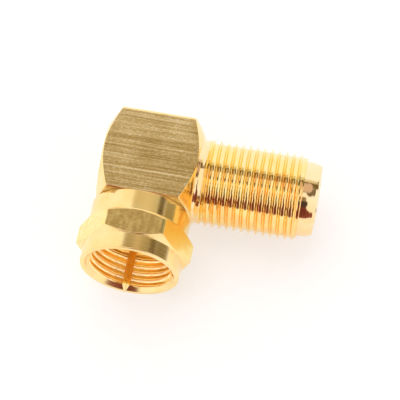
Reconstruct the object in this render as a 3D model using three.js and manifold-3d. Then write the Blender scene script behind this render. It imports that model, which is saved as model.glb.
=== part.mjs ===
// A right-angle coaxial adapter with F-type screw ends: a plug with a loose hexagon nut on one side
// and a threaded socket barrel on the other. Millimetres, +Z up. The pieces are drawn about the point
// where the two bores cross, with the barrel along +X and the plug along -Y.
import * as THREE from "three";
import { mergeVertices } from "three/addons/utils/BufferGeometryUtils.js";
import Module from "manifold-3d";

const wasm = await Module();
wasm.setup();

// ---- driving dimensions ----
const THREAD_PITCH = 25.4 / 32; // 3/8-32 UNEF
const THREAD_RADIUS = 4.7; // crest of the outside thread
const THREAD_DEPTH = 0.4;
const THREAD_CREST = 6.46; // where a crest passes the top of the barrel
const FACETS = 24; // around the barrel and every bore
const NUT_FACETS = 36;

const BLOCK_HALF = 5.0; // square bar, half its width
const FRONT_EDGE = 0.12; // easing of the long edges beside the plug
const BACK_EDGE = 0.45; // and of the two behind
const BLOCK_REAR = -5.05;
const BLOCK_FRONT = 5.25;
const END_CHAMFER_RADIUS = 4.85; // where the turned end face meets its chamfer
const END_CHAMFER_SLOPE = Math.tan(THREE.MathUtils.degToRad(30));

const NECK_RADIUS = 4.58;
const GROOVE_RADIUS = 4.4; // of the hollow neck at its waist, and where the waist is
const GROOVE_START = 5.47;
const GROOVE_END = 5.61;
const NECK_END = 5.92;
const BARREL_COLLAR = 4.6;
const THREAD_START = 6.15;
const THREAD_END = 16.1; // last full crest
const LEAD_IN_END = 16.64;
const NOSE_RADIUS = 4.06; // at its root
const NOSE_SHOULDER = [4.02, 17.2]; // radius and place where the nose starts to taper
const NOSE_TAPER = [3.81, 18.12];
const NOSE_TIP_RADIUS = 3.66;
const NOSE_END = 18.3;

const BORE_RADIUS = 3.05; // main bore, along the barrel
const LIP_RADIUS = 2.6; // rolled-in mouth that holds the insulator
const LIP_START = 17.7;
const CAP_RADIUS = 3.6;
const CAP_SEAT = -4.2; // depth of the rear cap's counterbore
const FIT_GAP = 0.05; // between pieces pressed together
const SLIVER = 0.004;

const SPIGOT_RADIUS = 3.2;
const SPIGOT_BORE = 2.3;
const SPIGOT_ROOT = -3.6;
const FLANGE_RADIUS = 4.05;
const FLANGE_BACK = -7.1;
const FLANGE_FACE = -8.1; // where a mated barrel end seats

const NUT_ACROSS_FLATS = 10.9;
const NUT_CORNER_RADIUS = 6.18; // hexagon corners, turned down
const COLLAR_RADIUS = 5.37;
const COLLAR_EDGE = 0.12;
const NUT_REAR = -5.08;
const NUT_MOUTH = -12.0;
const HEX_REAR_FLAT = -7.38; // flats' ends, at their middles
const HEX_REAR_CORNER = -7.92;
const HEX_FRONT_CORNER = -9.75;
const HEX_FRONT_FLAT = -10.15;
const NUT_HOLE_RADIUS = 3.3; // runs on the spigot
const NUT_WEB_FRONT = -6.2;
const NUT_RELIEF_END = -7.75;
const NUT_RELIEF_RADIUS = 4.84; // behind the thread
const NUT_MINOR_RADIUS = 4.32;
const NUT_MAJOR_RADIUS = 4.74;
const NUT_MOUTH_RADIUS = 4.86;
const NUT_LEAD_IN = 0.5; // length of the mouth's inside chamfer
const NUT_CREST = -8.5; // where a crest of the inside thread passes the bottom of the nut

const WASHER_INNER = 3.35;
const WASHER_OUTER = 4.6;
const WASHER_BACK = -6.24;
const WASHER_THICKNESS = 0.25;

const PIN_RADIUS = 0.42;
const PIN_TAIL = 1.0;
const PIN_CONE_START = -13.55;
const PIN_TIP = -14.35;
const PIN_TIP_RADIUS = 0.08;

const CONTACT_RADIUS = 1.15;
const CONTACT_TAIL = -1.3;
const CONTACT_SHOULDER = 10.0; // solid behind, two spring leaves in front
const CONTACT_TIP = 15.6;
const CONTACT_TIP_RADIUS = 0.95;
const CONTACT_BORE = 0.5;
const CONTACT_SLOT = 0.36;

const INNER_INSULATOR = [3.6, 7.6]; // its two end faces, along the barrel
const MOUTH_INSULATOR = [12.6, 17.6];
const LEAF_CHAMBER_END = 16.0;
const PIN_ENTRY_RADIUS = 0.65;
const PIN_FUNNEL_RADIUS = 1.15;
const PIN_INSULATOR_REAR = -2.9;

// ---- shape helpers ----

/** A closed three.js geometry as a solid that can be joined and cut. */
function solidOf(geometry) {
  const bare = geometry.clone();
  bare.deleteAttribute("normal");
  bare.deleteAttribute("uv");
  const merged = mergeVertices(bare, 1e-5);
  const corners = [];
  for (let i = 0; i < merged.index.count; i += 3) {
    const [a, b, c] = merged.index.array.slice(i, i + 3);
    if (a !== b && b !== c && c !== a) corners.push(a, b, c);
  }
  const mesh = new wasm.Mesh({
    numProp: 3,
    vertProperties: new Float32Array(merged.attributes.position.array),
    triVerts: new Uint32Array(corners),
  });
  return new wasm.Manifold(mesh);
}

/** A solid as a three.js geometry, without slivers thinner than SLIVER. */
function geometryOf(solid) {
  const mesh = solid.simplify(SLIVER).getMesh();
  const geometry = new THREE.BufferGeometry();
  geometry.setAttribute("position", new THREE.BufferAttribute(mesh.vertProperties, 3));
  geometry.setIndex(new THREE.BufferAttribute(mesh.triVerts, 1));
  geometry.computeVertexNormals();
  return geometry;
}

/** A turned shape about the Y axis, from [radius, y] points that run up the outside. */
function turned(profile, facets = FACETS) {
  return new THREE.LatheGeometry(profile.map(([radius, y]) => new THREE.Vector2(radius, y)), facets);
}

/** The same about the X axis, from [radius, x] points. */
function turnedAlongX(profile, facets = FACETS) {
  return turned(profile, facets).rotateZ(-Math.PI / 2);
}

/** The profile of a plain rod between two heights. */
function rod(radius, low, high) {
  return [[0, low], [radius, low], [radius, high], [0, high]];
}

/** The profile of a plain ring between two heights. */
function ring(inner, outer, low, high) {
  return [[inner, low], [outer, low], [outer, high], [inner, high], [inner, low]];
}

/**
 * A right-hand thread ridge about the Y axis: a straight bar bent into a helix.
 * Its section has one width at the inner radius and another at the outer one.
 */
function threadRidge({ inner, outer, innerWidth, outerWidth, low, turns, facets }) {
  const steps = Math.round(turns * facets);
  const bar = new THREE.BoxGeometry(1, 1, 1, 1, 1, steps);
  const place = bar.attributes.position;
  for (let i = 0; i < place.count; i++) {
    const turn = ((place.getZ(i) + 0.5) * steps) / facets;
    const isInner = place.getX(i) < 0;
    const radius = isInner ? inner : outer;
    const width = isInner ? innerWidth : outerWidth;
    const angle = 2 * Math.PI * turn;
    const height = low + THREAD_PITCH * turn - width * place.getY(i);
    place.setXYZ(i, radius * Math.sin(angle), height, radius * Math.cos(angle));
  }
  return bar;
}

// ---- materials ----

const gold = new THREE.MeshStandardMaterial({ color: 0xd9b25a, roughness: 0.22, metalness: 1 });
const brushedGold = new THREE.MeshStandardMaterial({ color: 0xb9a05a, roughness: 0.42, metalness: 1 });
const springBronze = new THREE.MeshStandardMaterial({ color: 0xc98a4b, roughness: 0.35, metalness: 1 });
const plastic = new THREE.MeshStandardMaterial({ color: 0xf1efe6, roughness: 0.5, metalness: 0 });

// ---- pieces ----

/** The square part of the body: an eased square bar with both ends turned to a chamfer. */
function block() {
  const front = BLOCK_HALF - FRONT_EDGE;
  const back = BLOCK_HALF - BACK_EDGE;
  const section = new THREE.Shape();
  section.moveTo(front, -BLOCK_HALF);
  section.absarc(front, -front, FRONT_EDGE, -Math.PI / 2, 0);
  section.absarc(back, back, BACK_EDGE, 0, Math.PI / 2);
  section.absarc(-back, back, BACK_EDGE, Math.PI / 2, Math.PI);
  section.absarc(-front, -front, FRONT_EDGE, Math.PI, 1.5 * Math.PI);
  const length = BLOCK_FRONT - BLOCK_REAR;
  const bar = new THREE.ExtrudeGeometry(section, { depth: length, bevelEnabled: false, curveSegments: 3 });
  bar.rotateY(Math.PI / 2).translate(BLOCK_REAR, 0, 0);

  const widest = BLOCK_HALF * Math.SQRT2 + 0.1;
  const drop = (widest - END_CHAMFER_RADIUS) * END_CHAMFER_SLOPE;
  const envelope = turnedAlongX([
    [0, BLOCK_REAR],
    [END_CHAMFER_RADIUS, BLOCK_REAR],
    [widest, BLOCK_REAR + drop],
    [widest, BLOCK_FRONT - drop],
    [END_CHAMFER_RADIUS, BLOCK_FRONT],
    [0, BLOCK_FRONT],
  ], 2 * FACETS);
  return solidOf(bar).intersect(solidOf(envelope));
}

/** The barrel's outside: neck, relief groove, collar, thread and rolled nose. */
function barrelOutside() {
  const root = THREAD_RADIUS - THREAD_DEPTH;
  const core = turnedAlongX([
    [0, BLOCK_FRONT - 0.5],
    [NECK_RADIUS, BLOCK_FRONT - 0.5],
    [NECK_RADIUS, BLOCK_FRONT + 0.05],
    [GROOVE_RADIUS, GROOVE_START],
    [GROOVE_RADIUS, GROOVE_END],
    [BARREL_COLLAR, NECK_END],
    [BARREL_COLLAR, THREAD_START - 0.1],
    [root, THREAD_START + 0.12],
    [root, LEAD_IN_END - 0.02],
    [NOSE_RADIUS, LEAD_IN_END],
    NOSE_SHOULDER,
    NOSE_TAPER,
    [NOSE_TIP_RADIUS, NOSE_END],
    [0, NOSE_END],
  ]);
  const ridge = threadRidge({
    inner: root - 0.12,
    outer: THREAD_RADIUS,
    innerWidth: 0.8 * THREAD_PITCH,
    outerWidth: 0.16 * THREAD_PITCH,
    low: THREAD_CREST - THREAD_PITCH,
    turns: Math.round((LEAD_IN_END - THREAD_START) / THREAD_PITCH) + 1,
    facets: FACETS,
  });
  ridge.rotateZ(-Math.PI / 2);
  const envelope = turnedAlongX([
    [0, THREAD_START - 0.3],
    [root - 0.2, THREAD_START - 0.3],
    [THREAD_RADIUS, THREAD_START],
    [THREAD_RADIUS, THREAD_END],
    [root - 0.2, LEAD_IN_END],
    [0, LEAD_IN_END],
  ]);
  const thread = solidOf(ridge).intersect(solidOf(envelope));
  return solidOf(core).add(thread);
}

/** Block and barrel in one piece, bored from the barrel, the rear and the plug side. */
function elbowBody() {
  const mainBore = turnedAlongX([
    [0, BLOCK_REAR - 1],
    [CAP_RADIUS, BLOCK_REAR - 1],
    [CAP_RADIUS, CAP_SEAT],
    [BORE_RADIUS, CAP_SEAT],
    [BORE_RADIUS, LIP_START],
    [LIP_RADIUS, LIP_START],
    [LIP_RADIUS, NOSE_END - 0.15],
    [LIP_RADIUS + 0.15, NOSE_END],
    [LIP_RADIUS + 0.15, NOSE_END + 1],
    [0, NOSE_END + 1],
  ]);
  const plugBore = turned(rod(SPIGOT_RADIUS + FIT_GAP, -BLOCK_HALF - 1, SPIGOT_ROOT + FIT_GAP));
  const crossHole = turned(rod(SPIGOT_BORE, SPIGOT_ROOT - 1, 0));
  const outside = block().add(barrelOutside());
  return geometryOf(
    outside.subtract(solidOf(mainBore)).subtract(solidOf(plugBore)).subtract(solidOf(crossHole)),
  );
}

/** The pressed-in disc that closes the rear bore. */
function rearCap() {
  const radius = CAP_RADIUS - FIT_GAP;
  const front = CAP_SEAT - FIT_GAP;
  return turnedAlongX([
    [0, BLOCK_REAR],
    [radius - 0.12, BLOCK_REAR],
    [radius, BLOCK_REAR + 0.12],
    [radius, front],
    [0, front],
  ]);
}

/** The insulating disc that carries the contact where the barrel leaves the block. */
function innerInsulator() {
  return turnedAlongX(ring(CONTACT_RADIUS + FIT_GAP, BORE_RADIUS - FIT_GAP, ...INNER_INSULATOR));
}

/** The insulator in the barrel's mouth, with a funnel that guides a cable's wire to the contact. */
function mouthInsulator() {
  const [rear, face] = MOUTH_INSULATOR;
  const outer = BORE_RADIUS - FIT_GAP;
  const chamber = CONTACT_RADIUS + 0.15;
  return turnedAlongX([
    [chamber, rear],
    [outer, rear],
    [outer, face],
    [PIN_FUNNEL_RADIUS, face],
    [PIN_ENTRY_RADIUS, face - 0.6],
    [PIN_ENTRY_RADIUS, LEAF_CHAMBER_END],
    [chamber, LEAF_CHAMBER_END],
    [chamber, rear],
  ]);
}

/** The socket's contact: a rod that ends in two spring leaves, with a cross hole for the pin. */
function socketContact() {
  const outside = turnedAlongX([
    [0, CONTACT_TAIL],
    [CONTACT_RADIUS, CONTACT_TAIL],
    [CONTACT_RADIUS, CONTACT_SHOULDER],
    [CONTACT_TIP_RADIUS, CONTACT_TIP],
    [0, CONTACT_TIP],
  ], 24);
  const bore = turnedAlongX(rod(CONTACT_BORE, CONTACT_SHOULDER, CONTACT_TIP + 1), 24);
  const slotLength = CONTACT_TIP - CONTACT_SHOULDER + 1;
  const slot = new THREE.BoxGeometry(slotLength, 4 * CONTACT_RADIUS, CONTACT_SLOT);
  slot.translate(CONTACT_SHOULDER + 0.8 + slotLength / 2, 0, 0);
  const pinHole = turned(rod(PIN_RADIUS + FIT_GAP, -3, 3), 16);
  return geometryOf(
    solidOf(outside).subtract(solidOf(bore)).subtract(solidOf(slot)).subtract(solidOf(pinHole)),
  );
}

/** The plug's centre pin, with a conical point. */
function centrePin() {
  return turned([
    [0, PIN_TIP],
    [PIN_TIP_RADIUS, PIN_TIP],
    [PIN_RADIUS, PIN_CONE_START],
    [PIN_RADIUS, PIN_TAIL],
    [0, PIN_TAIL],
  ], 16);
}

/** The insulating bush that holds the pin inside the spigot. */
function pinInsulator() {
  const face = FLANGE_FACE + 0.1;
  return turned(ring(PIN_RADIUS + FIT_GAP, SPIGOT_BORE - FIT_GAP, face, PIN_INSULATOR_REAR));
}

/** The flanged sleeve pressed into the block: the nut turns on it and can't come off its flange. */
function spigot() {
  return turned([
    [SPIGOT_BORE, FLANGE_FACE],
    [FLANGE_RADIUS - 0.1, FLANGE_FACE],
    [FLANGE_RADIUS, FLANGE_FACE + 0.1],
    [FLANGE_RADIUS, FLANGE_BACK],
    [SPIGOT_RADIUS, FLANGE_BACK],
    [SPIGOT_RADIUS, SPIGOT_ROOT],
    [SPIGOT_BORE, SPIGOT_ROOT],
    [SPIGOT_BORE, FLANGE_FACE],
  ]);
}

/** The loose ring between the nut's web and the spigot's flange. */
function slipWasher() {
  return turned(ring(WASHER_INNER, WASHER_OUTER, WASHER_BACK - WASHER_THICKNESS, WASHER_BACK));
}

/** The nut's outside: two round collars with a chamfered hexagon between them. */
function nutOutside() {
  const flat = NUT_ACROSS_FLATS / 2;
  const hexagon = new THREE.CylinderGeometry(
    flat / Math.cos(Math.PI / 6), flat / Math.cos(Math.PI / 6), HEX_REAR_FLAT - HEX_FRONT_FLAT, 6,
  );
  hexagon.rotateY(Math.PI / 2).translate(0, (HEX_REAR_FLAT + HEX_FRONT_FLAT) / 2, 0);
  const envelope = turned([
    [0, HEX_FRONT_FLAT],
    [flat, HEX_FRONT_FLAT],
    [NUT_CORNER_RADIUS, HEX_FRONT_CORNER],
    [NUT_CORNER_RADIUS, HEX_REAR_CORNER],
    [flat, HEX_REAR_FLAT],
    [0, HEX_REAR_FLAT],
  ], NUT_FACETS);
  const collars = turned([
    [0, NUT_MOUTH],
    [COLLAR_RADIUS - COLLAR_EDGE, NUT_MOUTH],
    [COLLAR_RADIUS, NUT_MOUTH + COLLAR_EDGE],
    [COLLAR_RADIUS, NUT_REAR - COLLAR_EDGE],
    [COLLAR_RADIUS - COLLAR_EDGE, NUT_REAR],
    [0, NUT_REAR],
  ], NUT_FACETS);
  return solidOf(hexagon).intersect(solidOf(envelope)).add(solidOf(collars));
}

/** The hexagon nut, bored to run on the spigot and threaded inside from its mouth. */
function couplingNut() {
  const bore = turned([
    [0, NUT_MOUTH - 1],
    [NUT_MOUTH_RADIUS, NUT_MOUTH - 1],
    [NUT_MOUTH_RADIUS, NUT_MOUTH],
    [NUT_MINOR_RADIUS, NUT_MOUTH + NUT_LEAD_IN],
    [NUT_MINOR_RADIUS, NUT_RELIEF_END],
    [NUT_RELIEF_RADIUS, NUT_RELIEF_END],
    [NUT_RELIEF_RADIUS, NUT_WEB_FRONT],
    [NUT_HOLE_RADIUS, NUT_WEB_FRONT],
    [NUT_HOLE_RADIUS, NUT_REAR + 1],
    [0, NUT_REAR + 1],
  ], NUT_FACETS);
  const turns = Math.ceil((NUT_RELIEF_END - NUT_MOUTH) / THREAD_PITCH);
  const turnsAhead = Math.ceil((NUT_CREST - NUT_MOUTH) / THREAD_PITCH);
  const groove = threadRidge({
    inner: NUT_MINOR_RADIUS - 0.15,
    outer: NUT_MAJOR_RADIUS,
    innerWidth: 0.84 * THREAD_PITCH,
    outerWidth: 0.18 * THREAD_PITCH,
    low: NUT_CREST - turnsAhead * THREAD_PITCH,
    turns,
    facets: NUT_FACETS,
  });
  return geometryOf(nutOutside().subtract(solidOf(bore)).subtract(solidOf(groove)));
}

// ---- assembly ----

const adapter = new THREE.Group();

function addPiece(name, geometry, material) {
  const piece = new THREE.Mesh(geometry, material);
  piece.name = name;
  adapter.add(piece);
}

addPiece("elbow_body", elbowBody(), brushedGold);
addPiece("rear_cap", rearCap(), gold);
addPiece("inner_insulator", innerInsulator(), plastic);
addPiece("mouth_insulator", mouthInsulator(), plastic);
addPiece("socket_contact", socketContact(), springBronze);
addPiece("centre_pin", centrePin(), gold);
addPiece("pin_insulator", pinInsulator(), plastic);
addPiece("spigot", spigot(), gold);
addPiece("slip_washer", slipWasher(), springBronze);
addPiece("coupling_nut", couplingNut(), gold);

// The origin goes under the middle of the whole adapter, level with its lowest face.
const extent = new THREE.Box3().setFromObject(adapter);
const middle = extent.getCenter(new THREE.Vector3());
adapter.position.set(-middle.x, -middle.y, -extent.min.z);

export default adapter;
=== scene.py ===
"""A gold-plated right-angle coaxial adapter: a square elbow block, a threaded socket barrel, and a plug
with a loose hexagon nut and a centre pin. Lengths are in millimetres from the point where the two bores
cross, until a mesh is written in metres; the barrel runs along +X and the plug along -Y."""

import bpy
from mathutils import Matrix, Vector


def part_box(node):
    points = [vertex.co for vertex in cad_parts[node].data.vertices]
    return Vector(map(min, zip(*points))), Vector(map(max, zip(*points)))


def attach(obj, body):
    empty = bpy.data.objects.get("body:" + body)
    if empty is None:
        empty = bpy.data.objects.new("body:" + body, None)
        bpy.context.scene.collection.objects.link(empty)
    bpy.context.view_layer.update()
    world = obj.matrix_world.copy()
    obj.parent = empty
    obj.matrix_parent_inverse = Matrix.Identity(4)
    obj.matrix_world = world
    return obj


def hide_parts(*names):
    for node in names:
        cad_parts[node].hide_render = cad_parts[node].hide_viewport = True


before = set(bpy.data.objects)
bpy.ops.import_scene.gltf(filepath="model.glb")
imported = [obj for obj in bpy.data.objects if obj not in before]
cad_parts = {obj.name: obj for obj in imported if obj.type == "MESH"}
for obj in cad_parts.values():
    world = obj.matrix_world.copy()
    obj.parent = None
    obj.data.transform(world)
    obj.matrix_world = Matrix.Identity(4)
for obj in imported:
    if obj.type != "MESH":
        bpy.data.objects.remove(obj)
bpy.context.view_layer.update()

import math

import bpy
import numpy as np
from mathutils import Matrix, Vector

MM = 0.001
X, Y, Z = 0, 1, 2

# ---- places and sizes that the frame gives ----

spigot_low, spigot_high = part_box("spigot")
cap_low, cap_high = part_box("rear_cap")
CROSSING = Vector((
    (spigot_low.x + spigot_high.x) / 2,
    (cap_low.y + cap_high.y) / 2,
    (cap_low.z + cap_high.z) / 2,
))


def edges(node, axis):
    """The lowest and highest place of a CAD node along an axis, in millimetres from the crossing."""
    low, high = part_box(node)
    return (low[axis] - CROSSING[axis]) / MM, (high[axis] - CROSSING[axis]) / MM


BLOCK_REAR, NOSE_END = edges("elbow_body", X)
BLOCK_HALF = edges("elbow_body", Z)[1]
CAP_REAR, CAP_FRONT = edges("rear_cap", X)
CAP_RADIUS = edges("rear_cap", Z)[1]
NUT_MOUTH, NUT_REAR = edges("coupling_nut", Y)
NUT_FLAT = edges("coupling_nut", Z)[1]
NUT_CORNER = edges("coupling_nut", X)[1]
FLANGE_FACE, SPIGOT_ROOT = edges("spigot", Y)
FLANGE_RADIUS = edges("spigot", Z)[1]
WASHER_FRONT, WASHER_BACK = edges("slip_washer", Y)
WASHER_RADIUS = edges("slip_washer", Z)[1]
PIN_TIP, PIN_TAIL = edges("centre_pin", Y)
PIN_RADIUS = edges("centre_pin", Z)[1]
BUSH_FACE, BUSH_REAR = edges("pin_insulator", Y)
BUSH_RADIUS = edges("pin_insulator", Z)[1]
MOUTH_REAR, MOUTH_FACE = edges("mouth_insulator", X)
BORE_RADIUS = edges("mouth_insulator", Z)[1]
CONTACT_RADIUS = edges("socket_contact", Z)[1]

# ---- the other driving dimensions, within 0.2 mm of the CAD model's ----

PITCH = 25.4 / 32
BLOCK_FRONT = 5.25
FRONT_EDGE = 0.12  # easing of the long edges beside the plug, and of the two behind
BACK_EDGE = 0.4
END_RADIUS = 4.85  # of the turned end faces, inside their 30 degree chamfer
END_SLOPE = math.tan(math.radians(30))

NECK_RADIUS = 4.6
GROOVE_RADIUS = 4.51  # of the hollow neck at its waist, and where the waist is
GROOVE = 5.54
COLLAR_RADIUS = 4.6
COLLAR_END = 6.05
THREAD_RADIUS = 4.69
THREAD_DEPTH = 0.34
HOLLOW_RISE = 0.1  # of a thread's hollow root, as a share of its depth
THREAD_CREST_HALF = 0.04  # half widths of the thread's crest and of its hollow root, in turns
THREAD_HOLLOW_HALF = 0.26
THREAD_START = 6.15
THREAD_END = 16.1
LEAD_IN_END = 16.64
THREAD_CREST = 6.46  # where a crest passes the top of the barrel
NOSE_RADIUS = 4.06
NOSE_SHOULDER = (4.03, 17.4)  # radius and place where the nose starts to taper
NOSE_TAPER = (3.83, 18.12)
NOSE_TIP_RADIUS = 3.66
LIP_RADIUS = 2.6

HEX_REAR = (-7.38, -7.92)  # ends of the flats: at their middles, and at the corners
HEX_FRONT = (-10.15, -9.75)
NUT_COLLAR = 5.365
NUT_LIP = 5.335  # the front collar narrows a little towards the mouth
NUT_HOLE = 3.3
NUT_WEB = -6.2
NUT_RELIEF = -7.75
NUT_RELIEF_RADIUS = 4.84
NUT_MINOR = 4.32
NUT_MAJOR = 4.74
NUT_MOUTH_RADIUS = 4.86
NUT_LEAD_IN = 0.5
NUT_CREST = -8.5  # where a crest of the inside thread passes the bottom of the nut
NUT_CREST_HALF = 0.10
NUT_HOLLOW_HALF = 0.12

SPIGOT_RADIUS = 3.19
SPIGOT_BORE = 2.3
FLANGE_BACK = -7.1
WASHER_HOLE = 3.35
PIN_POINT = 0.8  # length of the pin's cone
FUNNEL_RADIUS = 0.65  # of the hole in the mouth's insulator, and where the hole opens to the contact
FUNNEL_REAR = 16.0


# ---- turned meshes ----

GUARD = 1.15  # how far a guard point stands from its corner, as a multiple of the rounding


def softened(corners, closed, steps=4):
    """An outline with its corners rounded: corners are (radius, height, rounding). A guard point on each side
    of a rounding keeps the straight stretches straight when the mesh is shaded smooth."""
    count = len(corners)
    points = []
    for i, (radius, height, rounding) in enumerate(corners):
        here = np.array((radius, height), float)
        if rounding == 0 or (not closed and i in (0, count - 1)):
            points.append(here)
            continue
        before = np.array(corners[i - 1][:2], float) - here
        after = np.array(corners[(i + 1) % count][:2], float) - here
        reach_before = min(rounding / np.linalg.norm(before), 0.42)
        reach_after = min(rounding / np.linalg.norm(after), 0.42)
        start = here + before * reach_before
        end = here + after * reach_after
        points.append(here + before * reach_before * GUARD)
        for t in np.linspace(0, 1, steps + 1):
            points.append((1 - t) ** 2 * start + 2 * t * (1 - t) * here + t**2 * end)
        points.append(here + after * reach_after * GUARD)
    return np.array(points)


def stretch(start, end, step):
    """Evenly spaced places from start to end, both included."""
    return np.linspace(start, end, max(2, round(abs(end - start) / step) + 1))


def turned_mesh(name, axis, angles, outline, closed=False):
    """A mesh swept round the X or Y axis. outline(angle) gives the (radius, height) points there, as many at
    every angle. They run up the outside; an open outline starts and ends on the axis."""
    rings = np.array([outline(angle) for angle in angles])
    turns, count = rings.shape[:2]
    sine, cosine = np.sin(angles)[:, None], np.cos(angles)[:, None]
    radius, height = rings[..., 0], rings[..., 1]
    if axis == X:
        places = np.stack([height, -radius * sine, radius * cosine], -1)
    else:
        places = np.stack([radius * sine, height, radius * cosine], -1)
    index = np.arange(turns * count).reshape(turns, count)
    if not closed:
        index[:, 0] = index[0, 0]
        index[:, -1] = index[0, -1]
    beside = np.roll(index, -1, 0)
    above, beside_above = (np.roll(k, -1, 1) for k in (index, beside))
    quads = np.stack([index, beside, beside_above, above], -1)
    if not closed:
        quads = quads[:, :-1]
    faces = [list(dict.fromkeys(quad)) for quad in quads.reshape(-1, 4).tolist()]
    used = sorted({corner for face in faces for corner in face})
    renumbered = {old: new for new, old in enumerate(used)}
    faces = [[renumbered[corner] for corner in face] for face in faces]
    points = (places.reshape(-1, 3)[used] * MM + np.array(CROSSING)).tolist()
    mesh = bpy.data.meshes.new(name)
    mesh.from_pydata(points, [], faces)
    mesh.update()
    return mesh


def plain_angles(count):
    """Evenly spaced angles round a full turn."""
    return np.arange(count) * 2 * math.pi / count


def angles_with_corners(count, corners, half_width, extra=7):
    """Evenly spaced angles, and a finer run of them across each corner."""
    fine = [corner + offset for corner in corners for offset in np.linspace(-half_width, half_width, extra)]
    every = np.concatenate([plain_angles(count), np.array(fine) % (2 * math.pi)])
    every = np.unique(every.round(5))
    gaps = np.diff(np.append(every, every[0] + 2 * math.pi))
    return every[gaps > math.radians(0.1)]


def add_piece(name, mesh, materials, body, slot, *nodes, flat_above=32):
    """Makes a mesh the visible piece that stands for CAD nodes and rides on a body. Edges sharper than
    flat_above degrees stay sharp."""
    piece = bpy.data.objects.new(name, mesh)
    bpy.context.scene.collection.objects.link(piece)
    for material in materials:
        mesh.materials.append(material)
    mesh.shade_smooth()
    mesh.set_sharp_from_angle(angle=math.radians(flat_above))
    weights = piece.modifiers.new("flat_faces_stay_flat", "WEIGHTED_NORMAL")
    weights.keep_sharp = True
    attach(piece, body)
    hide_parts(*nodes)
    return piece


def thread_form(phase, crest_half, hollow_half):
    """How far a thread stands out, from 0 at its root to 1 at its crest, for a phase counted in turns: a
    hollow root, straight flanks and a flat crest. The half widths are in turns."""
    from_root = 0.5 - np.abs((phase + 0.5) % 1 - 0.5)
    hollow = HOLLOW_RISE * (from_root / hollow_half) ** 2
    flank = HOLLOW_RISE + (1 - HOLLOW_RISE) * (from_root - hollow_half) / (0.5 - crest_half - hollow_half)
    return np.where(from_root < hollow_half, hollow, np.minimum(flank, 1))


# ---- shader helpers ----

def new_material(name):
    """A material with its Principled shader and a function that adds nodes to it."""
    material = bpy.data.materials.new(name)
    material.use_nodes = True
    tree = material.node_tree
    shader = tree.nodes["Principled BSDF"]

    def add(kind, links=None, **settings):
        node = tree.nodes.new(kind)
        for key, value in settings.items():
            setattr(node, key, value)
        for key, value in (links or {}).items():
            if isinstance(value, bpy.types.NodeSocket):
                tree.links.new(value, node.inputs[key])
            else:
                node.inputs[key].default_value = value
        return node

    return material, shader, add, tree.links.new


def math_node(add, operation, a, b=0.0):
    return add("ShaderNodeMath", {0: a, 1: b}, operation=operation).outputs[0]


def weighted(add, a, share_a, b, share_b):
    """The sum of two values, each with its share."""
    part_a = math_node(add, "MULTIPLY", a, share_a)
    part_b = math_node(add, "MULTIPLY", b, share_b)
    return math_node(add, "ADD", part_a, part_b)


def ramp_node(add, factor, places, colours):
    """A colour ramp with each colour at its place."""
    node = add("ShaderNodeValToRGB", {"Fac": factor})
    ramp = node.color_ramp
    while len(ramp.elements) < len(colours):
        ramp.elements.new(0.5)
    for element, place, colour in zip(ramp.elements, places, colours):
        element.position = place
        element.color = (*colour, 1)
    return node.outputs["Color"]


def range_node(add, value, low, high, to_low, to_high):
    links = {"Value": value, "From Min": low, "From Max": high, "To Min": to_low, "To Max": to_high}
    return add("ShaderNodeMapRange", links).outputs["Result"]


def place_in_mm(add):
    """Each point's place from the crossing, in millimetres."""
    place = add("ShaderNodeTexCoord").outputs["Object"]
    moved = add("ShaderNodeVectorMath", {0: place, 1: CROSSING}, operation="SUBTRACT").outputs[0]
    return add("ShaderNodeVectorMath", {0: moved, "Scale": 1 / MM}, operation="SCALE").outputs[0]


def noise(add, vector, scale, detail=2.0, roughness=0.5, distortion=0.0):
    links = {"Vector": vector, "Scale": scale, "Detail": detail, "Roughness": roughness,
             "Distortion": distortion}
    return add("ShaderNodeTexNoise", links).outputs["Fac"]


def stretched(add, vector, scale):
    return add("ShaderNodeVectorMath", {0: vector, 1: scale}, operation="MULTIPLY").outputs[0]


# ---- materials ----

PLAIN_GOLDS = ((0.98, 0.71, 0.28), (1.0, 0.76, 0.34), (1.0, 0.80, 0.41))
WARM_GOLDS = ((1.0, 0.68, 0.26), (1.0, 0.80, 0.33), (1.0, 0.80, 0.41))
PALE_LIT_GOLDS = ((1.0, 0.73, 0.37), (1.0, 0.79, 0.46), (1.0, 0.81, 0.50))
INSIDE_GOLDS = ((1.0, 0.70, 0.24), (1.0, 0.78, 0.32))
CREST_HIGHLIGHT_GOLDS = ((1.0, 0.80, 0.45), (1.0, 0.85, 0.55))
PIN_SHADE_GOLDS = ((0.87, 0.43, 0.05), (0.89, 0.50, 0.09))
SHADED_FLAT_GOLDS = ((0.63, 0.45, 0.17), (0.74, 0.54, 0.22), (0.87, 0.67, 0.30))
LIT_FLAT_GOLDS = ((1.0, 0.77, 0.28), (1.0, 0.81, 0.32), (1.0, 0.85, 0.38))
DRAWN_GOLDS = ((0.44, 0.30, 0.10), (0.60, 0.43, 0.165), (0.71, 0.54, 0.25), (0.94, 0.78, 0.47))
GLINT_GOLD = (1.0, 0.90, 0.68)
DARK_RED_BROWNS = ((0.42, 0.10, 0.03), (0.85, 0.48, 0.18))
BRONZES = ((0.62, 0.36, 0.16), (0.86, 0.58, 0.30))
WAXY_WHITES = ((0.80, 0.78, 0.70), (0.92, 0.90, 0.84))
ORANGE_GLOW = ((1.0, 0.42, 0.07), (1.0, 0.50, 0.10))
CREAM_HIGHLIGHT_GLOW = ((1.0, 0.72, 0.38), (1.0, 0.80, 0.50))


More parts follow.
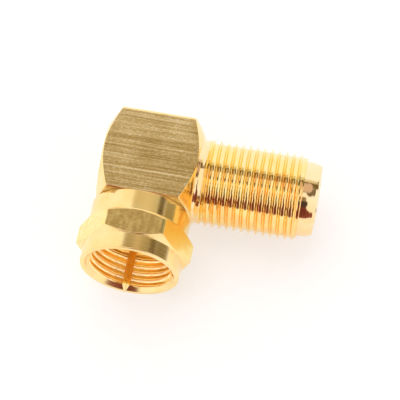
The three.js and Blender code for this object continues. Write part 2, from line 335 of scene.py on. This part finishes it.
def turned_gold(name, axis, golds=PLAIN_GOLDS, roughness=0.11, ring_bump=0.25, wander=0.4, painted_front_shade=0.0):
    """Bright gold plate over turned brass: faint lathe rings round the axis, and a slow wander in colour.
    Its last argument paints shade and light: per millimetre toward the back, the colour moves toward the last
    of the golds, so the front side is painted darker and warmer and the back paler."""
    material, shader, add, link = new_material(name)
    place = place_in_mm(add)
    parts = add("ShaderNodeSeparateXYZ", {0: place}).outputs
    across = [parts[i] for i in (X, Y, Z) if i != axis]
    squares = [math_node(add, "MULTIPLY", side, side) for side in across]
    radius = math_node(add, "SQRT", math_node(add, "ADD", *squares))
    along_and_out = add("ShaderNodeCombineXYZ", {0: parts[axis], 1: radius}).outputs[0]
    rings = noise(add, along_and_out, 9.0, 3.0, 0.6)
    patches = noise(add, place, 0.45, 2.0)
    # Painted shade and light: darker and warmer toward the front, paler toward the back.
    patches = math_node(add, "ADD", patches, math_node(add, "MULTIPLY", parts[Y], painted_front_shade))
    grains = noise(add, place, 14.0, 2.0, 0.7)
    colour = ramp_node(add, patches, (0.3, 0.5, 0.72), golds)
    link(colour, shader.inputs["Base Color"])
    shader.inputs["Metallic"].default_value = 1.0
    wear = weighted(add, rings, 0.6, grains, 0.4)
    link(range_node(add, wear, 0.3, 0.7, 0.6 * roughness, 1.5 * roughness), shader.inputs["Roughness"])
    waves = math_node(add, "MULTIPLY", noise(add, place, 1.1, 1.0), wander)
    height = math_node(add, "ADD", math_node(add, "MULTIPLY", rings, ring_bump), waves)
    bump = add("ShaderNodeBump", {"Height": height, "Strength": 0.12, "Distance": 0.02 * MM})
    link(bump.outputs["Normal"], shader.inputs["Normal"])
    return material


def inner_gold(name, golds, roughness, glow=0.0, glow_colours=ORANGE_GLOW):
    """Plating in the depth of a bore: the same gold, less polished. Its glow is painted light: it stands in
    for the light that goes many times from wall to wall, and with paler golds it paints highlights on the
    nut's thread crests."""
    material, shader, add, link = new_material(name)
    place = place_in_mm(add)
    haze = noise(add, place, 2.2, 3.0)
    link(ramp_node(add, haze, (0.35, 0.65), golds), shader.inputs["Base Color"])
    shader.inputs["Metallic"].default_value = 1.0
    link(range_node(add, haze, 0.3, 0.7, 0.8 * roughness, 1.2 * roughness), shader.inputs["Roughness"])
    link(ramp_node(add, haze, (0.35, 0.65), glow_colours), shader.inputs["Emission Color"])
    shader.inputs["Emission Strength"].default_value = glow
    return material


def dark_red_edge_metal(name):
    """A dark red-brown metal streaked along X, for the block's front long edges."""
    material, shader, add, link = new_material(name)
    place = place_in_mm(add)
    edge_streaks = noise(add, stretched(add, place, (0.5, 3.0, 3.0)), 1.0, 3.0)
    link(ramp_node(add, edge_streaks, (0.35, 0.65), DARK_RED_BROWNS), shader.inputs["Base Color"])
    shader.inputs["Metallic"].default_value = 1.0
    link(range_node(add, edge_streaks, 0.3, 0.7, 0.3, 0.45), shader.inputs["Roughness"])
    return material


def drawn_gold(name, axis, scratch, roughness=0.36):
    """Gold plate over a sawn flat: straight fine lines along an axis, broken into dashes, and painted glints
    as bright pale specks. It is painted a little paler toward the back, painted light. scratch is where one
    long pale line crosses the Y axis."""
    material, shader, add, link = new_material(name)
    place = place_in_mm(add)

    def along(fine, coarse, detail):
        scale = [fine, fine, fine]
        scale[axis] = coarse
        return noise(add, stretched(add, place, scale), 1.0, detail, 0.6)

    lines = along(6.5, 0.12, 2.0)
    dashes = along(7.0, 2.6, 2.0)
    tone = noise(add, place, 0.3, 2.0)
    glint_noise = noise(add, place, 5.5, 2.0, 0.6)
    mix = weighted(add, lines, 0.5, dashes, 0.3)
    mix = math_node(add, "ADD", mix, math_node(add, "MULTIPLY", tone, 0.2))
    across = add("ShaderNodeSeparateXYZ", {0: place}).outputs[Y]
    # Painted light: a little paler toward the back.
    mix = math_node(add, "ADD", mix, math_node(add, "MULTIPLY", across, 0.0035))
    off = math_node(add, "ABSOLUTE", math_node(add, "SUBTRACT", across, scratch))
    mix = math_node(add, "ADD", mix, range_node(add, off, 0.03, 0.11, 0.14, 0.0))
    colour = ramp_node(add, mix, (0.40, 0.47, 0.53, 0.61), DRAWN_GOLDS)
    # Painted glints: pale bright specks.
    bright = range_node(add, glint_noise, 0.66, 0.69, 0.0, 1.0)
    blend = {0: bright, 6: colour, 7: (*GLINT_GOLD, 1)}
    with_glints = add("ShaderNodeMix", blend, data_type="RGBA").outputs[2]
    link(with_glints, shader.inputs["Base Color"])
    shader.inputs["Metallic"].default_value = 1.0
    link(range_node(add, mix, 0.35, 0.65, 1.15 * roughness, 0.75 * roughness), shader.inputs["Roughness"])
    bump = add("ShaderNodeBump", {"Height": mix, "Strength": 0.5, "Distance": 0.03 * MM})
    link(bump.outputs["Normal"], shader.inputs["Normal"])
    return material


def satin_gold(name, golds, roughness=0.2):
    """Gold plate over a milled flat that has been tumbled: satin, mottled, with a few faint lines along Y."""
    material, shader, add, link = new_material(name)
    place = place_in_mm(add)
    mottle = noise(add, place, 1.3, 4.0, 0.65)
    lines = noise(add, stretched(add, place, (3.2, 0.2, 3.2)), 1.0, 1.0)
    mix = weighted(add, mottle, 0.75, lines, 0.25)
    colour = ramp_node(add, mix, (0.4, 0.5, 0.6), golds)
    link(colour, shader.inputs["Base Color"])
    shader.inputs["Metallic"].default_value = 1.0
    link(range_node(add, mix, 0.35, 0.65, 1.2 * roughness, 0.8 * roughness), shader.inputs["Roughness"])
    bump = add("ShaderNodeBump", {"Height": mix, "Strength": 0.06, "Distance": 0.03 * MM})
    link(bump.outputs["Normal"], shader.inputs["Normal"])
    return material


def bronze(name):
    """Tinned spring bronze: satin, with a faint brownish bloom."""
    material, shader, add, link = new_material(name)
    place = place_in_mm(add)
    bloom = noise(add, place, 1.6, 3.0)
    link(ramp_node(add, bloom, (0.35, 0.65), BRONZES), shader.inputs["Base Color"])
    shader.inputs["Metallic"].default_value = 1.0
    lines = noise(add, stretched(add, place, (0.6, 12.0, 12.0)), 1.0, 2.0)
    link(range_node(add, lines, 0.3, 0.7, 0.2, 0.4), shader.inputs["Roughness"])
    return material


def insulator_plastic(name):
    """Natural polyethylene: waxy off-white that lets a little light in, with faint moulding swirls."""
    material, shader, add, link = new_material(name)
    place = place_in_mm(add)
    swirls = noise(add, place, 0.9, 3.0, 0.6, 0.8)
    link(ramp_node(add, swirls, (0.3, 0.7), WAXY_WHITES), shader.inputs["Base Color"])
    grains = noise(add, place, 9.0, 2.0)
    link(range_node(add, grains, 0.3, 0.7, 0.38, 0.55), shader.inputs["Roughness"])
    shader.inputs["Subsurface Weight"].default_value = 0.25
    shader.inputs["Subsurface Scale"].default_value = 0.4 * MM
    bump = add("ShaderNodeBump", {"Height": grains, "Strength": 0.2, "Distance": 0.02 * MM})
    link(bump.outputs["Normal"], shader.inputs["Normal"])
    return material


# ---- the elbow block ----

def square_radius(angle):
    """How far the square bar reaches from its axis at an angle; its front and back edges are eased."""
    turn = (angle + math.pi / 4) % (math.pi / 2) - math.pi / 4
    edge = FRONT_EDGE if math.sin(angle) > 0 else BACK_EDGE
    straight = BLOCK_HALF - edge
    if abs(math.tan(turn)) * BLOCK_HALF <= straight:
        return BLOCK_HALF / math.cos(turn)
    ahead = straight * (math.cos(turn) + abs(math.sin(turn)))
    return ahead + math.sqrt(edge**2 - 2 * straight**2 + ahead**2)


def block_outline(angle):
    """From the floor of the cap's seat, over the rear chamfer, the flat and the front chamfer, to the
    neck."""
    reach = square_radius(angle)
    drop = (reach - END_RADIUS) * END_SLOPE
    seat = CAP_RADIUS + 0.05
    return softened([
        (0, CAP_FRONT, 0),
        (seat, CAP_FRONT, 0.02),
        (seat, BLOCK_REAR, 0.04),
        (END_RADIUS, BLOCK_REAR, 0.08),
        (reach, BLOCK_REAR + drop, 0.07),
        (reach, BLOCK_FRONT - drop, 0.07),
        (END_RADIUS, BLOCK_FRONT, 0.08),
        (NECK_RADIUS - 0.3, BLOCK_FRONT, 0),
        (0, BLOCK_FRONT - 0.4, 0),
    ], closed=False)


def colour_by_side(mesh, is_side, index):
    """Gives the faces whose middle and normal pass a test another material slot."""
    for face in mesh.polygons:
        middle = (face.center - CROSSING) / MM
        if is_side(middle, face.normal):
            face.material_index = index


def build_block():
    corners = [math.radians(45 + 90 * i) for i in range(4)]
    angles = angles_with_corners(120, corners, math.radians(3.6), extra=25)
    mesh = turned_mesh("elbow_block", X, angles, block_outline)

    def on_flat(middle, normal):
        return max(abs(normal.y), abs(normal.z)) > 0.99

    def on_front_edge(middle, normal):
        return normal.y < -0.1 and abs(normal.z) > 0.1 and abs(normal.x) < 0.1

    colour_by_side(mesh, on_flat, 1)
    colour_by_side(mesh, on_front_edge, 2)
    materials = [rear_turned, drawn_block, dark_red_edges]
    add_piece("elbow_block", mesh, materials, "adapter_body", "brushed_gold_plate", "elbow_body")


# ---- the socket barrel ----

def barrel_core():
    """The barrel's outline without its thread, with close points where the thread will stand."""
    root = THREAD_RADIUS - THREAD_DEPTH
    bore = BORE_RADIUS + 0.05
    behind = softened([
        (0, BLOCK_FRONT - 0.7, 0),
        (NECK_RADIUS, BLOCK_FRONT - 0.7, 0),
        (NECK_RADIUS, BLOCK_FRONT, 0),
        (GROOVE_RADIUS, GROOVE, 0.4),
        (COLLAR_RADIUS, COLLAR_END, 0.08),
        (root, THREAD_START + 0.12, 0),
    ], closed=False)[:-1]
    places = stretch(THREAD_START + 0.12, LEAD_IN_END - 0.06, PITCH / 24)
    threaded = np.array([(root, place) for place in places])
    ahead = softened([
        (root, LEAD_IN_END - 0.05, 0),
        (NOSE_RADIUS, LEAD_IN_END, 0.05),
        (*NOSE_SHOULDER, 0.5),
        (*NOSE_TAPER, 0.1),
        (NOSE_TIP_RADIUS, NOSE_END, 0.12),
        (LIP_RADIUS + 0.15, NOSE_END, 0.06),
        (LIP_RADIUS, NOSE_END - 0.15, 0.06),
        (LIP_RADIUS, MOUTH_FACE + 0.05, 0.02),
        (bore, MOUTH_FACE + 0.05, 0),
        (bore, MOUTH_REAR - 0.2, 0),
        (0, MOUTH_REAR - 0.2, 0),
    ], closed=False, steps=6)[1:]
    return np.concatenate([behind, threaded, ahead])


def barrel_outline(core, angle):
    """The core's outline with the thread standing out of it, trimmed by its start and by its lead-in."""
    radius, height = core[:, 0].copy(), core[:, 1]
    outside = np.arange(len(core)) <= np.argmax(height)
    inside_thread = outside & (height > COLLAR_END - 0.05) & (height < LEAD_IN_END)
    root = THREAD_RADIUS - THREAD_DEPTH
    phase = (height - THREAD_CREST) / PITCH - angle / (2 * math.pi)
    ridge = root + THREAD_DEPTH * thread_form(phase, THREAD_CREST_HALF, THREAD_HOLLOW_HALF)
    start_limit = COLLAR_RADIUS - 0.2 + (height - COLLAR_END) * 2.2
    lead_in = THREAD_RADIUS - (height - THREAD_END) * 1.1
    ridge = np.minimum(np.minimum(ridge, start_limit), lead_in)
    radius[inside_thread] = np.maximum(radius, ridge)[inside_thread]
    return np.stack([radius, height], -1)


def build_barrel():
    core = barrel_core()
    mesh = turned_mesh("socket_barrel", X, plain_angles(224), lambda angle: barrel_outline(core, angle))
    # Off the thread (neck, collar, nose and mouth) the barrel gets a paler copy of its gold: painted light.
    colour_by_side(mesh, lambda middle, normal: not COLLAR_END < middle.x < LEAD_IN_END, 1)
    materials = [barrel_turned, off_thread_painted_light]
    add_piece("socket_barrel", mesh, materials, "adapter_body", "polished_gold_plate", "elbow_body",
              flat_above=40)


def build_rear_cap():
    outline = softened([
        (0, CAP_REAR + 0.05, 0),
        (0.5, CAP_REAR + 0.05, 0.2),
        (CAP_RADIUS - 0.25, CAP_REAR, 0.4),
        (CAP_RADIUS, CAP_REAR, 0.14),
        (CAP_RADIUS, CAP_FRONT, 0.03),
        (0, CAP_FRONT, 0),
    ], closed=False)
    mesh = turned_mesh("rear_cap_disc", X, plain_angles(128), lambda angle: outline)
    add_piece("rear_cap_disc", mesh, [rear_turned], "adapter_body", "polished_gold_plate", "rear_cap")


# ---- the coupling nut ----

def hexagon_radius(angle):
    """How far the hexagon reaches from its axis at an angle, with its corners turned off."""
    turn = (angle + math.pi / 6) % (math.pi / 3) - math.pi / 6
    return min(NUT_FLAT / math.cos(turn), NUT_CORNER)


def nut_outline(angle):
    """The nut's closed outline: up the outside from its mouth, and back down its web, relief and thread."""
    reach = hexagon_radius(angle)
    share = (reach - NUT_FLAT) / (NUT_CORNER - NUT_FLAT)
    front_slope = (HEX_FRONT[1] - HEX_FRONT[0]) / (NUT_CORNER - NUT_FLAT)
    rear_slope = (HEX_REAR[0] - HEX_REAR[1]) / (NUT_CORNER - NUT_FLAT)
    step = NUT_FLAT - NUT_COLLAR
    outside = softened([
        (NUT_MOUTH_RADIUS, NUT_MOUTH, 0),
        (NUT_LIP, NUT_MOUTH, 0.14),
        (NUT_COLLAR, HEX_FRONT[0] - step * front_slope, 0.04),
        (reach, HEX_FRONT[0] + share * (HEX_FRONT[1] - HEX_FRONT[0]), 0.07),
        (reach, HEX_REAR[0] + share * (HEX_REAR[1] - HEX_REAR[0]), 0.07),
        (NUT_COLLAR, HEX_REAR[0] + step * rear_slope, 0.04),
        (NUT_COLLAR, NUT_REAR, 0.05),
        (NUT_HOLE, NUT_REAR, 0.08),
        (NUT_HOLE, NUT_WEB, 0.05),
        (NUT_RELIEF_RADIUS, NUT_WEB, 0.1),
        (NUT_RELIEF_RADIUS, NUT_RELIEF + 0.02, 0.05),
        (NUT_MAJOR, NUT_RELIEF, 0),
    ], closed=False)[:-1]
    height = stretch(NUT_RELIEF, NUT_MOUTH, PITCH / 18)[:-1]
    half_turn = 0.5
    phase = (height - NUT_CREST) / PITCH - angle / (2 * math.pi) + half_turn
    form = thread_form(phase, NUT_CREST_HALF, NUT_HOLLOW_HALF)
    lead_in = NUT_MINOR + (NUT_MOUTH + NUT_LEAD_IN - height) * (NUT_MOUTH_RADIUS - NUT_MINOR) / NUT_LEAD_IN
    radius = np.maximum(NUT_MAJOR - (NUT_MAJOR - NUT_MINOR) * form, np.minimum(lead_in, NUT_MOUTH_RADIUS))
    return np.concatenate([outside, np.stack([radius, height], -1)])


def build_nut():
    corners = [math.radians(30 + 60 * i) for i in range(6)]
    angles = angles_with_corners(180, corners, math.radians(2.6), extra=9)
    mesh = turned_mesh("hexagon_nut", Y, angles, nut_outline, closed=True)

    def on_flat(middle, normal):
        return abs(normal.y) < 0.1 and math.hypot(middle.x, middle.z) > NUT_FLAT - 0.02

    # The top and bottom flats get a darker copy of the satin gold, painted shade; the other flats get a
    # brighter copy, painted light.
    def painted_shade_flat(middle, normal):
        return on_flat(middle, normal) and abs(normal.z) > 0.9

    def inside(middle, normal):
        return math.hypot(middle.x, middle.z) < NUT_RELIEF_RADIUS - 0.02 and middle.y > NUT_MOUTH + 0.4

    # The crests of the inside thread get paler gold with a cream glow: painted highlights.
    def on_crest(middle, normal):
        return inside(middle, normal) and abs(math.hypot(middle.x, middle.z) - NUT_MINOR) < 0.05

    colour_by_side(mesh, on_flat, 1)
    colour_by_side(mesh, painted_shade_flat, 2)
    colour_by_side(mesh, inside, 3)
    colour_by_side(mesh, on_crest, 4)
    materials = [nut_turned, lit_flat_gold, shaded_flat_gold, nut_inside, crest_painted_highlight]
    add_piece("hexagon_nut", mesh, materials, "nut", "polished_gold_plate", "coupling_nut",
              flat_above=40)


# ---- the small turned pieces ----

def build_plug():
    spigot = softened([
        (SPIGOT_BORE, FLANGE_FACE, 0.05),
        (FLANGE_RADIUS, FLANGE_FACE, 0.12),
        (FLANGE_RADIUS, FLANGE_BACK, 0.05),
        (SPIGOT_RADIUS, FLANGE_BACK, 0.05),
        (SPIGOT_RADIUS, SPIGOT_ROOT, 0.1),
        (SPIGOT_BORE, SPIGOT_ROOT, 0.05),
    ], closed=True)
    mesh = turned_mesh("flanged_spigot", Y, plain_angles(128), lambda angle: spigot, closed=True)
    add_piece("flanged_spigot", mesh, [nut_turned], "adapter_body", "polished_gold_plate", "spigot")

    washer = softened([
        (WASHER_HOLE, WASHER_FRONT, 0.04),
        (WASHER_RADIUS, WASHER_FRONT, 0.04),
        (WASHER_RADIUS, WASHER_BACK, 0.04),
        (WASHER_HOLE, WASHER_BACK, 0.04),
    ], closed=True, steps=2)
    mesh = turned_mesh("slip_ring_washer", Y, plain_angles(96), lambda angle: washer, closed=True)
    add_piece("slip_ring_washer", mesh, [spring_bronze], "slip_ring", "spring_bronze", "slip_washer")

    hole = PIN_RADIUS + 0.05
    bush = softened([
        (hole, BUSH_FACE, 0.06),
        (BUSH_RADIUS, BUSH_FACE, 0.06),
        (BUSH_RADIUS, BUSH_REAR, 0.06),
        (hole, BUSH_REAR, 0.06),
    ], closed=True)
    mesh = turned_mesh("pin_bush", Y, plain_angles(96), lambda angle: bush, closed=True)
    add_piece("pin_bush", mesh, [plastic], "adapter_body", "insulator_plastic", "pin_insulator")

    pin = softened([
        (0, PIN_TIP, 0),
        (0.1, PIN_TIP, 0.05),
        (PIN_RADIUS, PIN_TIP + PIN_POINT, 0.12),
        (PIN_RADIUS, PIN_TAIL, 0.05),
        (0, PIN_TAIL, 0),
    ], closed=False)
    mesh = turned_mesh("pointed_pin", Y, plain_angles(64), lambda angle: pin)
    # The pin's shaft gets a darker, more orange gold than its point: painted shade.
    colour_by_side(mesh, lambda middle, normal: middle.y < PIN_TIP + PIN_POINT - 0.1, 1)
    materials = [pin_shaded_gold, nut_turned]
    add_piece("pointed_pin", mesh, materials, "adapter_body", "polished_gold_plate", "centre_pin")


def build_socket_insides():
    """The mouth's insulator with its funnel; the contact and the inner insulator keep their CAD shapes."""
    face = MOUTH_FACE
    chamber = CONTACT_RADIUS + 0.15
    mouth = softened([
        (chamber, MOUTH_REAR, 0.05),
        (BORE_RADIUS, MOUTH_REAR, 0.05),
        (BORE_RADIUS, face, 0.08),
        (1.15, face, 0.12),
        (FUNNEL_RADIUS, face - 0.6, 0.15),
        (FUNNEL_RADIUS, FUNNEL_REAR, 0.05),
        (chamber, FUNNEL_REAR, 0.05),
    ], closed=True)
    mesh = turned_mesh("mouth_funnel", X, plain_angles(96), lambda angle: mouth, closed=True)
    add_piece("mouth_funnel", mesh, [plastic], "adapter_body", "insulator_plastic", "mouth_insulator")
    for node, material in (("inner_insulator", plastic), ("socket_contact", spring_bronze)):
        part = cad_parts[node]
        part.data.materials.clear()
        part.data.materials.append(material)


# ---- camera, light and floor ----

CAMERA_AZIMUTH = 9.36
CAMERA_ELEVATION = 61.7
CAMERA_ROLL = 1.21
CAMERA_DISTANCE = 229.2  # from the crossing, along the view
CAMERA_LENS = 190.6
AIM_RIGHT = 5.337  # how far the view's middle passes right of the crossing, and below it
AIM_DOWN = 2.881


def direction(azimuth, elevation):
    """A unit vector: azimuth 0 is -Y and 90 is +X, in degrees."""
    a, e = math.radians(azimuth), math.radians(elevation)
    return Vector((math.sin(a) * math.cos(e), -math.cos(a) * math.cos(e), math.sin(e)))


def build_camera():
    back = direction(CAMERA_AZIMUTH, CAMERA_ELEVATION)
    level = direction(CAMERA_AZIMUTH + 90, 0)
    rise = back.cross(level)
    roll = math.radians(CAMERA_ROLL)
    right = math.cos(roll) * level + math.sin(roll) * rise
    up = math.cos(roll) * rise - math.sin(roll) * level
    place = CROSSING + (back * CAMERA_DISTANCE + right * AIM_RIGHT - up * AIM_DOWN) * MM
    lens = bpy.data.cameras.new("camera")
    lens.lens = CAMERA_LENS
    lens.sensor_width = 36
    lens.clip_start = 0.01
    lens.clip_end = 10
    camera = bpy.data.objects.new("camera", lens)
    camera.matrix_world = Matrix.Translation(place) @ Matrix((right, up, back)).transposed().to_4x4()
    bpy.context.scene.collection.objects.link(camera)
    bpy.context.scene.camera = camera


# Soft zones of the studio, each over the ones before it: azimuth, elevation, the angle from there out to
# which it is full, the angle by which it has faded, and its colour. The gold mirrors them, so its dark bands
# come from here.
STUDIO_WHITE = (1.12, 1.07, 1.05)
STUDIO = [
    (-48, 12, 18, 34, (1.42, 1.36, 1.30)),
    (188, 60, 1, 19, (0.76, 0.67, 0.49)),
    (168, 58, 8, 15, (0.80, 0.70, 0.51)),
    (147, 53, 8, 14, (0.80, 0.70, 0.50)),
    (131, 43, 7, 13, (0.74, 0.64, 0.45)),
    (180, -2, 57, 59, STUDIO_WHITE),
    (118, 16, 9, 15, (0.42, 0.36, 0.22)),
    (126, 36, 4, 9, (0.10, 0.07, 0.03)),
    (0, -1.5, 115.5, 117.5, (0.17, 0.11, 0.03)),
    (0, -10, 107, 109.5, STUDIO_WHITE),
    (85, 72, 15, 18, (0.18, 0.13, 0.07)),
    (125, 77, 12, 18, (0.72, 0.52, 0.42)),
    (-122, 27, 32, 37, STUDIO_WHITE),
    (5, 2, 26, 30, (0.24, 0.06, 0.045)),
    (-2, 25, 15, 19, (0.18, 0.045, 0.035)),
    (8, 46, 8, 12, (0.06, 0.04, 0.03)),
    (2, 61, 4, 8, (0.30, 0.21, 0.11)),
]


def build_studio():
    """A white studio with the soft zones in it. The camera itself sees plain white."""
    world = bpy.data.worlds.new("studio")
    bpy.context.scene.world = world
    world.use_nodes = True
    tree = world.node_tree
    nodes, link = tree.nodes, tree.links.new
    towards = nodes.new("ShaderNodeTexCoord").outputs["Generated"]
    colour = None
    for azimuth, elevation, inner, outer, shade in STUDIO:
        dot = nodes.new("ShaderNodeVectorMath")
        dot.operation = "DOT_PRODUCT"
        link(towards, dot.inputs[0])
        dot.inputs[1].default_value = direction(azimuth, elevation)
        fade = nodes.new("ShaderNodeMapRange")
        fade.interpolation_type = "SMOOTHSTEP"
        link(dot.outputs["Value"], fade.inputs["Value"])
        fade.inputs["From Min"].default_value = math.cos(math.radians(outer))
        fade.inputs["From Max"].default_value = math.cos(math.radians(inner))
        mix = nodes.new("ShaderNodeMix")
        mix.data_type = "RGBA"
        link(fade.outputs["Result"], mix.inputs[0])
        if colour is None:
            mix.inputs[6].default_value = (*STUDIO_WHITE, 1)
        else:
            link(colour, mix.inputs[6])
        mix.inputs[7].default_value = (*shade, 1)
        colour = mix.outputs[2]
    light = nodes["Background"]
    link(colour, light.inputs["Color"])
    plain = nodes.new("ShaderNodeBackground")
    plain.inputs["Color"].default_value = (1.05, 1.05, 1.05, 1)
    seen = nodes.new("ShaderNodeLightPath").outputs["Is Camera Ray"]
    choose = nodes.new("ShaderNodeMixShader")
    link(seen, choose.inputs[0])
    link(light.outputs[0], choose.inputs[1])
    link(plain.outputs[0], choose.inputs[2])
    link(choose.outputs[0], nodes["World Output"].inputs["Surface"])


def build_floor():
    """Plain white paper, partly lit by its own even light so that its shadows stay faint."""
    size = 3.0
    corners = [(-size, -size, 0), (size, -size, 0), (size, size, 0), (-size, size, 0)]
    mesh = bpy.data.meshes.new("floor")
    mesh.from_pydata(corners, [], [(0, 1, 2, 3)])
    material, shader, add, link = new_material("white_paper")
    place = add("ShaderNodeTexCoord").outputs["Object"]
    grain = noise(add, place, 900.0, 2.0)
    link(ramp_node(add, grain, (0.3, 0.7), ((0.46,) * 3, (0.49,) * 3)), shader.inputs["Base Color"])
    shader.inputs["Roughness"].default_value = 0.7
    shader.inputs["Specular IOR Level"].default_value = 0.1
    shader.inputs["Emission Color"].default_value = (0.97, 0.94, 0.935, 1)
    shader.inputs["Emission Strength"].default_value = 0.6
    mesh.materials.append(material)
    floor = bpy.data.objects.new("floor", mesh)
    bpy.context.scene.collection.objects.link(floor)


def build_overhead_light():
    """A broad soft lamp for the paper, left out of the metal's reflections."""
    lamp = bpy.data.lights.new("overhead", "AREA")
    lamp.shape = "DISK"
    lamp.size = 0.5
    lamp.energy = 0.8
    light = bpy.data.objects.new("overhead", lamp)
    light.location = CROSSING + Vector((-0.12, 0.15, 0.5))
    light.rotation_mode = "QUATERNION"
    light.rotation_quaternion = (light.location - CROSSING).to_track_quat("Z", "Y")
    light.visible_glossy = False
    bpy.context.scene.collection.objects.link(light)


# ---- the scene ----

smooth = {"roughness": 0.1, "ring_bump": 0.0, "wander": 0.15}
rear_turned = turned_gold("turned_gold_block", X, roughness=0.13)
# The barrel's gold is painted darker toward the front and paler toward the back: painted shade and light.
barrel_turned = turned_gold("turned_gold_barrel", X, WARM_GOLDS, painted_front_shade=0.04, **smooth)
# A paler copy of the barrel's gold: painted light.
off_thread_painted_light = turned_gold("turned_gold_nose_painted_light", X, PALE_LIT_GOLDS, painted_front_shade=0.05, **smooth)
nut_turned = turned_gold("turned_gold_nut", Y, roughness=0.17)
nut_inside = inner_gold("inner_gold_nut", INSIDE_GOLDS, 0.2, glow=0.07)
# Painted highlight: the crests inside the nut get paler gold and a strong cream glow.
crest_painted_highlight = inner_gold("inner_gold_crest_painted_highlight", CREST_HIGHLIGHT_GOLDS, 0.2, glow=0.36, glow_colours=CREAM_HIGHLIGHT_GLOW)
# Painted shade: a darker, more orange gold for the pin's shaft inside the nut.
pin_shaded_gold = inner_gold("inner_gold_pin_painted_shade", PIN_SHADE_GOLDS, 0.3)
dark_red_edges = dark_red_edge_metal("dark_red_front_edge_metal")
drawn_block = drawn_gold("drawn_gold_block", X, scratch=-2.5)
# Lit and shaded copies of one satin gold for the nut's flats: painted light and painted shade.
shaded_flat_gold = satin_gold("satin_gold_painted_shade", SHADED_FLAT_GOLDS)
lit_flat_gold = satin_gold("satin_gold_painted_light", LIT_FLAT_GOLDS)
spring_bronze = bronze("spring_bronze_satin")
plastic = insulator_plastic("insulator_polyethylene")

build_camera()
build_studio()
build_floor()
build_overhead_light()
build_block()
build_barrel()
build_rear_cap()
build_nut()
build_plug()
build_socket_insides()
bpy.context.scene.view_settings.view_transform = "Standard"
